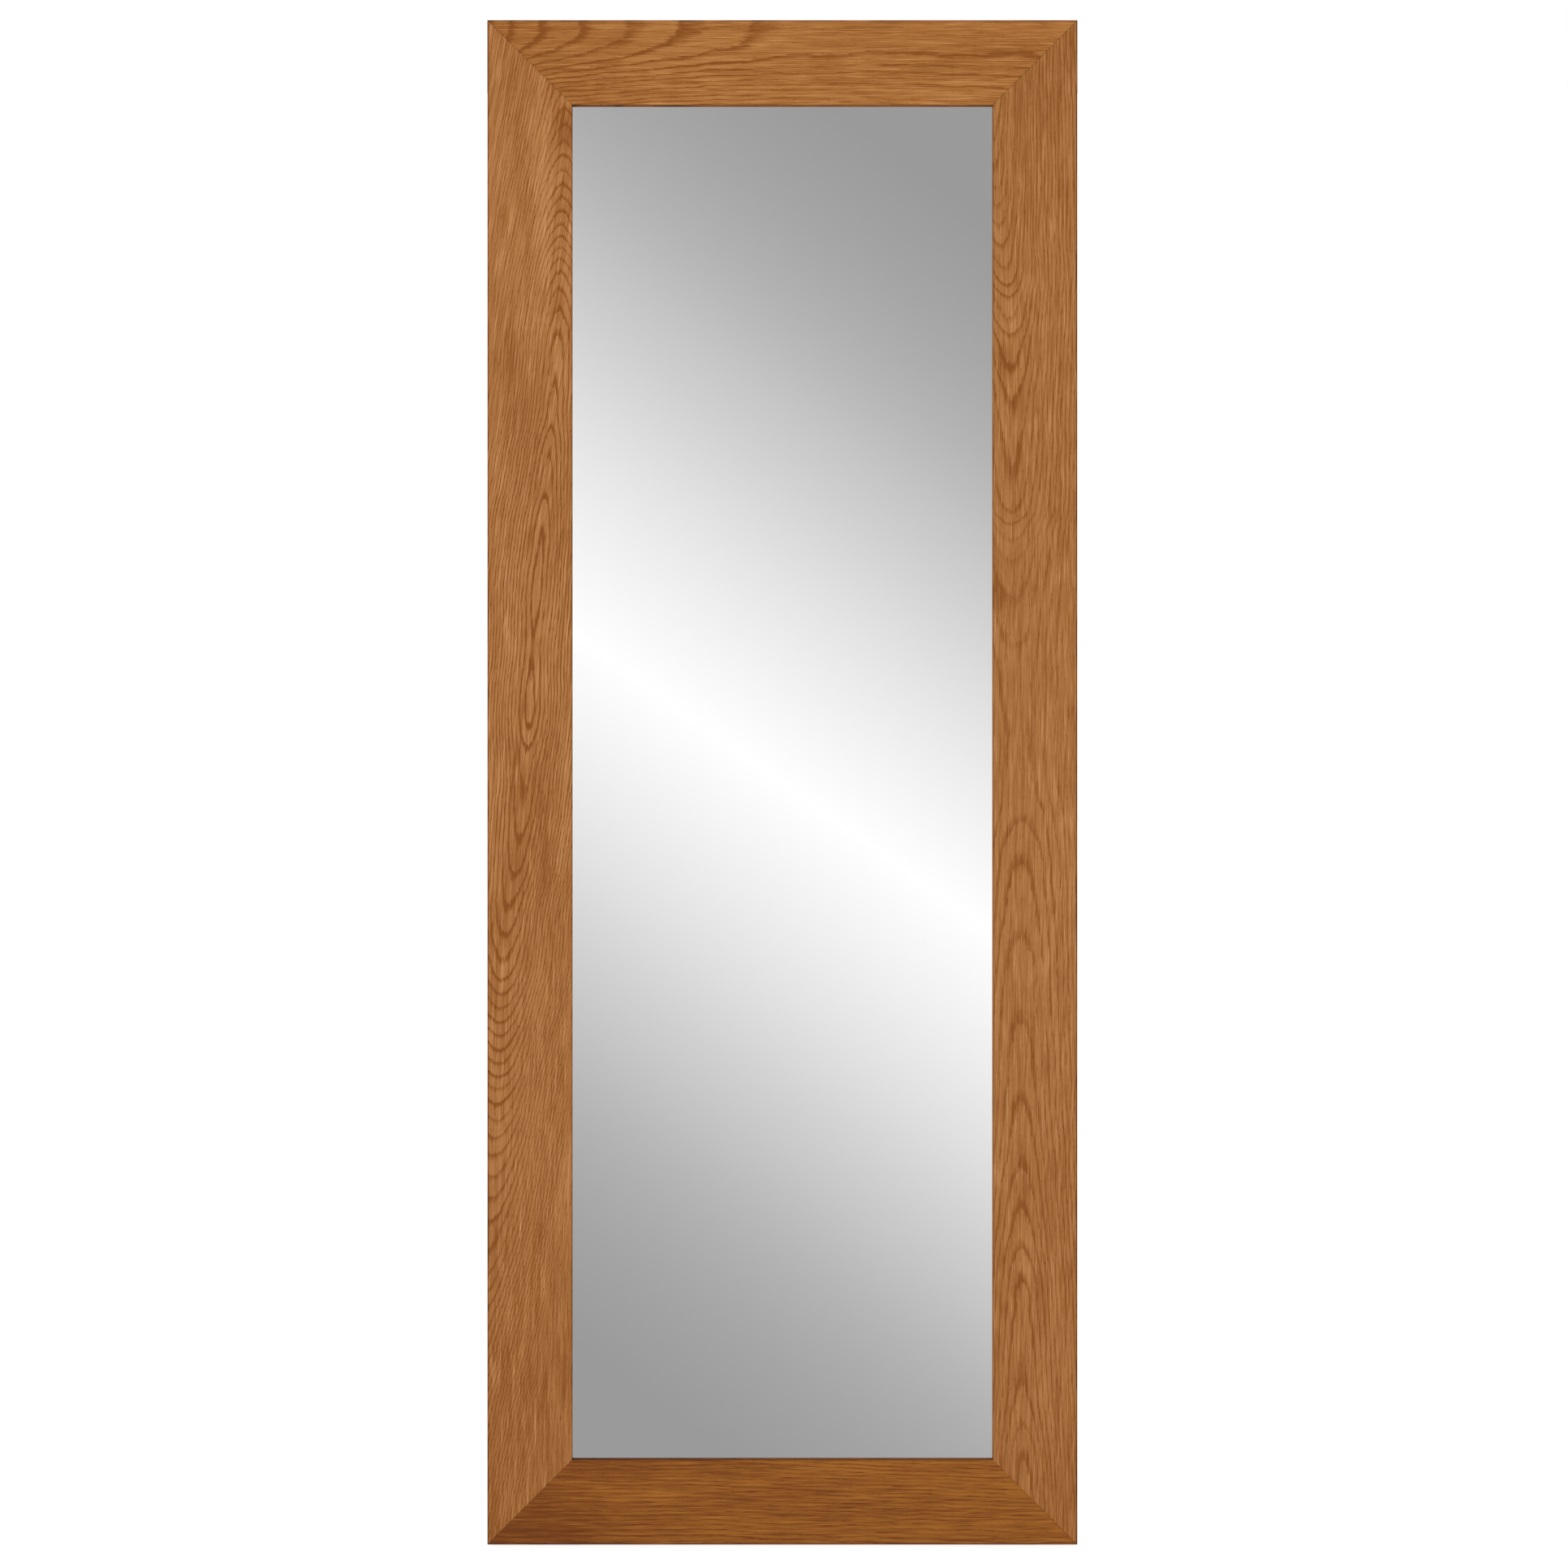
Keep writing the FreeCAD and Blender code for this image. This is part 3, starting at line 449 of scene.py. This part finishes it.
def bottom_board():
    """Close, nearly straight rings, centred below the lower edge."""
    board = Board(
        RIGHT_FROM_LEFT, UP_FROM_FOOT, DEEP_FROM_FACE,
        pith=((0.0, -0.050), (0.20, -0.038), (0.35, -0.042), (WIDTH, -0.060)),
        nose=((0.0, 0.030), (WIDTH, 0.030)),
        passed=((0.0, 0.0), (0.35, 1.5), (WIDTH, 0.0)),
        crossed=((0.0, 0.0), (0.05, 9.0), (0.21, 46.0)),
        fade=((0.0, 1.0), (0.21, 1.0)),
        shade=((0.0, 0.20), (0.12, 0.12), (0.30, 0.02), (WIDTH, -0.02)),
        slant=((0.0, 0.0), (WIDTH, 0.0)), seed=13.0,
    )
    board.length = WIDTH
    board.figure = 0.38
    board.mottle = 0.8
    board.arris_wear_and_shade = 0.70
    board.sight_shade = 0.28
    board.tint = (0.640, 0.490, 0.12)
    board.contrast = 1.26
    board.patches = ((0.06, 0.030, 0.12, 0.050, 0.16), (0.66, 0.050, 0.14, 0.050, -0.10))
    return board


def rails_and_stiles():
    """The four mouldings, each cut from its own board."""
    boards = {
        "left_stile": left_board(),
        "right_stile": right_board(),
        "top_rail": top_board(),
        "bottom_rail": bottom_board(),
    }
    for node, board in boards.items():
        paint([node], oak(f"oak_{node}", board))


def paint(nodes, material):
    """Gives CAD nodes a material."""
    for name in nodes:
        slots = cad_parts[name].data.materials
        slots.clear()
        slots.append(material)


def strut_boards():
    """The batten and the strut: plainer, paler oak that was only oiled."""
    strut_deep = depth_axis("strut_left_leg")
    strut_up = ACROSS.cross(strut_deep)

    def plain(node, along, across, deep, seed):
        low_along, high_along = reach(node, along)
        length = high_along - low_along
        board = Board(
            (along, low_along), (across, reach(node, across)[0]), (deep, reach(node, deep)[0]),
            pith=((0.0, 0.005), (length / 2, 0.026), (length, -0.004)),
            nose=((0.0, 0.010), (length, 0.020)),
            passed=((0.0, 0.0), (length / 2, 14.0 * length), (length, 17.0 * length)),
            crossed=((0.0, 0.0), (0.02, 3.4), (0.10, 21.0)),
            fade=((0.0, 1.0), (0.10, 0.8)),
            shade=((0.0, 0.03), (length, -0.03)),
            slant=((0.0, 0.0), (length, 0.02 * length)), seed=seed,
        )
        board.tint = (1.10, 1.30, 1.9)
        board.contrast = 0.85
        paint([node], oak(f"oak_{node}", board))

    plain("hinge_batten", ACROSS, UP, DEEP, 21.0)
    for seed, side in ((25.0, "left"), (29.0, "right")):
        plain(f"strut_{side}_leg", strut_up, ACROSS, strut_deep, seed)
    for seed, height in ((33.0, "top"), (37.0, "low")):
        plain(f"strut_{height}_rail", ACROSS, strut_up, strut_deep, seed)


def beech():
    """Pale close-grained beech with short dark flecks."""
    material, tree, shader, place = new_material("beech")
    x, y, z = (along_axis(tree, place, axis) for axis in (ACROSS, DEEP, UP))
    grain = noise(x * 60.0, y * 900.0, z * 900.0, 3.0)
    flecks = smooth(noise(x * 420.0, y * 2200.0, z * 2200.0, 1.0, 4.0), 0.12, 0.22)
    tone = (0.45 + grain * 0.9 + flecks * 0.3).clamped()
    stops = ((0.0, (0.72, 0.50, 0.30)), (1.0, (0.45, 0.25, 0.12)))
    tree.links.new(ramp(tone, stops), shader.inputs["Base Color"])
    shader.inputs["Roughness"].default_value = 0.6
    add_bump(tree, shader, grain, 0.0001)
    return material


# ---- Glass, board, rubber and metal -----------------------------------------------------------
def mirror():
    """Back-silvered float glass, seen as the silver that it shows, with the faintest haze."""
    material, tree, shader, place = new_material("mirror_silver")
    x, z = (along_axis(tree, place, axis) for axis in (ACROSS, UP))
    haze = smooth(noise(x * 7.0, z * 7.0, 0.0, 3.0), 0.0, 0.5)
    shader.inputs["Base Color"].default_value = (MIRROR_REFLECTANCE,) * 3 + (1.0,)
    shader.inputs["Metallic"].default_value = 1.0
    feed(tree, shader.inputs["Roughness"], 0.012 + haze * 0.012)
    return material


def fibreboard():
    """Hardboard: pressed brown fibres with pale and dark specks."""
    material, tree, shader, place = new_material("fibreboard")
    x, y, z = (along_axis(tree, place, axis) for axis in (ACROSS, DEEP, UP))
    clouds = noise(x * 5.0, y * 5.0, z * 5.0, 3.0)
    fibres = noise(x * 260.0, y * 260.0, z * 190.0, 4.0, 2.0)
    specks = smooth(noise(x * 700.0, y * 700.0, z * 700.0, 1.0, 8.0), 0.16, 0.26)
    shreds = smooth(noise(x * 90.0, y * 90.0, z * 480.0, 2.0, 12.0), 0.13, 0.28)
    tone = (0.5 + clouds * 0.5 + fibres * 0.8 + specks * 0.35 - shreds * 0.28).clamped()
    stops = ((0.0, (0.36, 0.225, 0.125)), (0.5, (0.245, 0.142, 0.076)), (1.0, (0.12, 0.064, 0.032)))
    tree.links.new(ramp(tone, stops), shader.inputs["Base Color"])
    feed(tree, shader.inputs["Roughness"], 0.62 + fibres * 0.2)
    shader.inputs["Specular IOR Level"].default_value = 0.3
    add_bump(tree, shader, fibres - shreds * 0.3, 0.00025)
    return material


def rubber():
    """Black rubber with a fine moulded texture and a little dust."""
    material, tree, shader, place = new_material("rubber")
    x, y, z = (along_axis(tree, place, axis) for axis in (ACROSS, DEEP, UP))
    texture = noise(x * 1600.0, y * 1600.0, z * 1600.0, 2.0)
    dust = smooth(noise(x * 60.0, y * 60.0, z * 60.0, 4.0, 5.0), 0.0, 0.35)
    stops = ((0.0, (0.018, 0.018, 0.019)), (1.0, (0.075, 0.072, 0.068)))
    tree.links.new(ramp(dust, stops), shader.inputs["Base Color"])
    feed(tree, shader.inputs["Roughness"], 0.72 + texture * 0.15)
    add_bump(tree, shader, texture, 0.00008)
    return material


def plated_steel(name, pale, deep, roughness):
    """Zinc-plated steel: a drifting plating colour, rolling marks, fine scratches and dull spots."""
    material, tree, shader, place = new_material(name)
    x, y, z = (along_axis(tree, place, axis) for axis in (ACROSS, DEEP, UP))
    drift = noise(x * 45.0, y * 45.0, z * 45.0, 3.0)
    rolled = noise(x * 2600.0, y * 2600.0, z * 60.0, 2.0, 3.0)
    scratches = smooth(noise(x * 3800.0, y * 240.0, z * 240.0, 1.0, 9.0), 0.2, 0.3)
    spots = smooth(noise(x * 330.0, y * 330.0, z * 330.0, 2.0, 14.0), 0.12, 0.3)
    tone = (0.42 + drift * 1.0 + rolled * 0.10 + spots * 0.14 - scratches * 0.2).clamped()
    tree.links.new(ramp(tone, ((0.0, pale), (1.0, deep))), shader.inputs["Base Color"])
    shader.inputs["Metallic"].default_value = 1.0
    feed(tree, shader.inputs["Roughness"], roughness + spots * 0.10 + rolled * 0.05)
    add_bump(tree, shader, rolled * 0.5 - scratches * 0.5, 0.000008)
    return material


def hardware():
    """Yellow zinc on the hinges and screws, and bright zinc on the stays, clips and corner plates."""
    bright = plated_steel(
        "bright_zinc", pale=(0.74, 0.745, 0.75), deep=(0.47, 0.475, 0.485), roughness=0.27,
    )
    yellow = plated_steel(
        "yellow_zinc", pale=(0.88, 0.73, 0.44), deep=(0.68, 0.50, 0.28), roughness=0.24,
    )
    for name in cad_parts:
        if name.endswith("screws") or name.startswith("hinge_left") or name.startswith("hinge_right"):
            paint([name], yellow)
        elif name.startswith("stay_") or name in ("retaining_clips", "corner_plates"):
            paint([name], bright)


def other_materials():
    """Everything that is neither oak nor steel."""
    black = rubber()
    paint(["mirror_glass"], mirror())
    paint(["backing_board"], fibreboard())
    paint(["mitre_biscuits", "strut_dowels"], beech())
    paint(["glass_setting_blocks"], black)
    paint([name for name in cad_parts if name.endswith("foot_pad")], black)


# ---- Studio -----------------------------------------------------------------------------------
def studio_world():
    """White all round, with soft diagonal bands of light for the mirror to show."""
    world = bpy.data.worlds.new("studio")
    bpy.context.scene.world = world
    world.use_nodes = True
    tree = world.node_tree
    tree.nodes.clear()
    direction = tree.nodes.new("ShaderNodeTexCoord").outputs["Generated"]
    band_axis = math.sin(BAND_SLOPE) * ACROSS + math.cos(BAND_SLOPE) * UP
    angle = along_axis(tree, direction, band_axis).call("ARCSINE")
    wave = (angle / BAND_PERIOD + 0.5).call("FRACT") - 0.5
    from_middle = wave.call("ABSOLUTE") * (BAND_PERIOD / BAND_REACH)
    level = curve(from_middle.call("MINIMUM", 1.0), BAND_FALL) * (1.0 - BAND_GREY) + BAND_GREY
    reflected = level / MIRROR_REFLECTANCE

    rays = tree.nodes.new("ShaderNodeLightPath").outputs
    from_camera = Num(tree, rays["Is Camera Ray"])
    from_matt = Num(tree, rays["Is Diffuse Ray"])
    in_gloss = 1.0 - from_camera - from_matt
    strength = from_camera + from_matt * AMBIENT + in_gloss * reflected
    background = tree.nodes.new("ShaderNodeBackground")
    background.inputs["Color"].default_value = (1.0, 1.0, 1.0, 1.0)
    feed(tree, background.inputs["Strength"], strength)
    output = tree.nodes.new("ShaderNodeOutputWorld")
    tree.links.new(background.outputs[0], output.inputs["Surface"])


def sun(name, strength, towards, softness):
    """A large distant softbox that shines towards a direction, softness degrees across."""
    light = bpy.data.lights.new(name, "SUN")
    light.energy = strength
    light.angle = math.radians(softness)
    lamp = bpy.data.objects.new(name, light)
    lamp.rotation_euler = Vector(towards).to_track_quat("-Z", "Y").to_euler()
    lamp.visible_glossy = False
    bpy.context.scene.collection.objects.link(lamp)


def floor():
    """A pale floor that glows just enough to match the white surroundings."""
    half = FLOOR_HALF
    mesh = bpy.data.meshes.new("studio_floor")
    corners = [(-half, -half, 0), (half, -half, 0), (half, half, 0), (-half, half, 0)]
    mesh.from_pydata(corners, [], [(0, 1, 2, 3)])
    ground = bpy.data.objects.new("studio_floor", mesh)
    bpy.context.scene.collection.objects.link(ground)
    material, tree, shader, place = new_material("pale_floor")
    x, y = (along_axis(tree, place, axis) for axis in (ACROSS, Vector((0, 1, 0))))
    clouds = noise(x * 3.0, y * 3.0)
    tree.links.new(ramp((0.5 + clouds).clamped(), FLOOR_TONES), shader.inputs["Base Color"])
    shader.inputs["Roughness"].default_value = 0.9
    shader.inputs["Specular IOR Level"].default_value = 0.0
    shader.inputs["Emission Color"].default_value = (1.0, 1.0, 1.0, 1.0)
    shader.inputs["Emission Strength"].default_value = FLOOR_GLOW
    mesh.materials.append(material)
    ground.visible_glossy = False


def camera():
    """Square on to the leaning mirror, which puts it about 1.7 m above the floor."""
    aim_across, aim_up = CAMERA_AIM
    aim = DEEP * FRONT + UP * (MIDDLE + aim_up) + ACROSS * aim_across
    lens = bpy.data.cameras.new("camera")
    lens.lens = CAMERA_LENS
    lens.sensor_width = 36.0
    lens.clip_end = 1000.0
    eye = bpy.data.objects.new("camera", lens)
    eye.location = aim - DEEP * CAMERA_DISTANCE
    eye.rotation_euler = DEEP.to_track_quat("-Z", "Y").to_euler()
    bpy.context.scene.collection.objects.link(eye)
    bpy.context.scene.camera = eye


def studio():
    """Surroundings, two soft suns, a floor and the camera."""
    bpy.context.scene.view_settings.view_transform = "Standard"
    studio_world()
    sun("key", KEY_LIGHT, towards=(0.45, 0.80, -1.0), softness=70.0)
    sun("fill", FILL_LIGHT, towards=(-0.60, -0.55, -1.0), softness=80.0)
    floor()
    camera()


studio()
rails_and_stiles()
strut_boards()
hardware()
other_materials()
